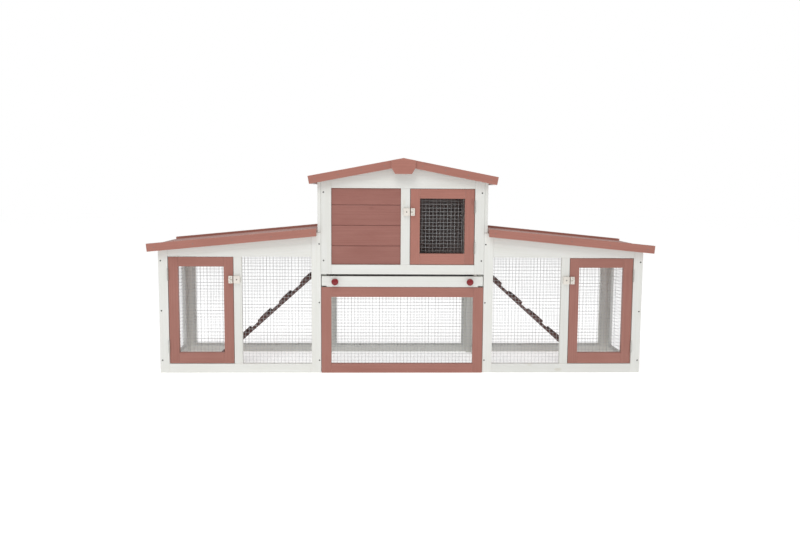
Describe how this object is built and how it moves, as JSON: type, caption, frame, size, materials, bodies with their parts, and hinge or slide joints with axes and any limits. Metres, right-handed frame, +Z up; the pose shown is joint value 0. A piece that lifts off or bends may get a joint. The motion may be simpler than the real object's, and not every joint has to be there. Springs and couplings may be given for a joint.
{
  "type": "rabbit hutch",
  "caption": "Free-standing timber rabbit hutch with a raised sleeping house, pull-out tray, cleated ramps, hinged mesh doors and a mesh run on each side.",
  "frame": {"origin": "on the ground, at the middle of the outline seen from above", "axes": "+X to the right along the length seen from the front, +Y from front to back, +Z up"},
  "size_m": [2.04, 0.504, 0.8716],
  "materials": {
    "white_paint": "satin white paint on softwood",
    "brown_paint": "satin reddish brown paint on softwood",
    "plank_paint": "satin reddish brown paint on bevelled boards",
    "roof_paint": "satin reddish brown paint on softwood",
    "ramp_wood": "dark brown stain",
    "wire_mesh": "galvanised welded wire",
    "tray_sheet": "galvanised sheet",
    "knob_red": "gloss red paint on turned wood",
    "steel_hardware": "zinc plated",
    "latch_cream": "satin cream plastic",
    "screw_dark": "dark plated"
  },
  "bodies": {
    "hutch": {"corner_posts": "white_paint", "frame_screws": "screw_dark", "gable_blocks": "roof_paint", "hinge_fixed_leaves": "steel_hardware", "house_back_frame": "white_paint", "house_back_planks": "plank_paint", "house_front_frame": "white_paint", "house_front_planks": "plank_paint", "house_roof_boards_left": "roof_paint", "house_roof_boards_right": "roof_paint", "house_roof_fascias": "roof_paint", "latch_keepers": "latch_cream", "left_run_back_frame": "white_paint", "left_run_back_mesh": "wire_mesh", "left_run_end_frame": "white_paint", "left_run_end_mesh": "wire_mesh", "left_run_front_frame": "white_paint", "left_run_front_mesh": "wire_mesh", "left_run_roof_boards": "roof_paint", "left_run_roof_fascias": "roof_paint", "left_side_wall": "white_paint", "ramp_ears": "steel_hardware", "right_run_back_frame": "white_paint", "right_run_back_mesh": "wire_mesh", "right_run_end_frame": "white_paint", "right_run_end_mesh": "wire_mesh", "right_run_front_frame": "white_paint", "right_run_front_mesh": "wire_mesh", "right_run_roof_boards": "roof_paint", "right_run_roof_fascias": "roof_paint", "right_side_wall": "white_paint", "tray_runners": "white_paint", "under_back_mesh": "wire_mesh", "under_front_frame": "brown_paint", "under_front_mesh": "wire_mesh"},
    "left_door": {"left_door_frame": "brown_paint", "left_door_mesh": "wire_mesh", "left_door_hinge_leaves": "steel_hardware", "left_latch_body": "latch_cream"},
    "left_bolt": {"left_latch_bolt": "steel_hardware"},
    "right_door": {"right_door_frame": "brown_paint", "right_door_mesh": "wire_mesh", "right_door_hinge_leaves": "steel_hardware", "right_latch_body": "latch_cream"},
    "right_bolt": {"right_latch_bolt": "steel_hardware"},
    "house_door": {"house_door_frame": "brown_paint", "house_door_mesh": "wire_mesh", "house_door_hinge_leaves": "steel_hardware", "house_latch_body": "latch_cream"},
    "house_bolt": {"house_latch_bolt": "steel_hardware"},
    "tray": {"tray_pan": "tray_sheet", "tray_front": "white_paint", "tray_knobs": "knob_red"},
    "left_ramp": {"left_ramp_board": "ramp_wood", "left_ramp_cleats": "ramp_wood", "left_ramp_rod": "steel_hardware"},
    "right_ramp": {"right_ramp_board": "ramp_wood", "right_ramp_cleats": "ramp_wood", "right_ramp_rod": "steel_hardware"}
  },
  "joints": [
    {"name": "left_door_hinge", "type": "hinge", "parent": "hutch", "child": "left_door", "pos_m": [-0.94225, -0.2188, 0.2565], "axis": [0, 0, -1], "range_deg": [0, 110]},
    {"name": "right_door_hinge", "type": "hinge", "parent": "hutch", "child": "right_door", "pos_m": [0.94225, -0.2188, 0.2565], "axis": [0, 0, 1], "range_deg": [0, 110]},
    {"name": "house_door_hinge", "type": "hinge", "parent": "hutch", "child": "house_door", "pos_m": [0.28925, -0.2188, 0.598], "axis": [0, 0, 1], "range_deg": [0, 110]},
    {"name": "left_bolt_slide", "type": "slide", "parent": "left_door", "child": "left_bolt", "axis": [1, 0, 0], "range_m": [0, 0.011]},
    {"name": "right_bolt_slide", "type": "slide", "parent": "right_door", "child": "right_bolt", "axis": [-1, 0, 0], "range_m": [0, 0.011]},
    {"name": "house_bolt_slide", "type": "slide", "parent": "house_door", "child": "house_bolt", "axis": [-1, 0, 0], "range_m": [0, 0.011]},
    {"name": "tray_slide", "type": "slide", "parent": "hutch", "child": "tray", "axis": [0, -1, 0], "range_m": [0, 0.34]},
    {"name": "right_ramp_hinge", "type": "hinge", "parent": "hutch", "child": "right_ramp", "pos_m": [0.358, 0.02, 0.397], "axis": [0, -1, 0], "range_deg": [0, 45]},
    {"name": "left_ramp_hinge", "type": "hinge", "parent": "hutch", "child": "left_ramp", "pos_m": [-0.358, 0.02, 0.397], "axis": [0, 1, 0], "range_deg": [0, 45]}
  ]
}
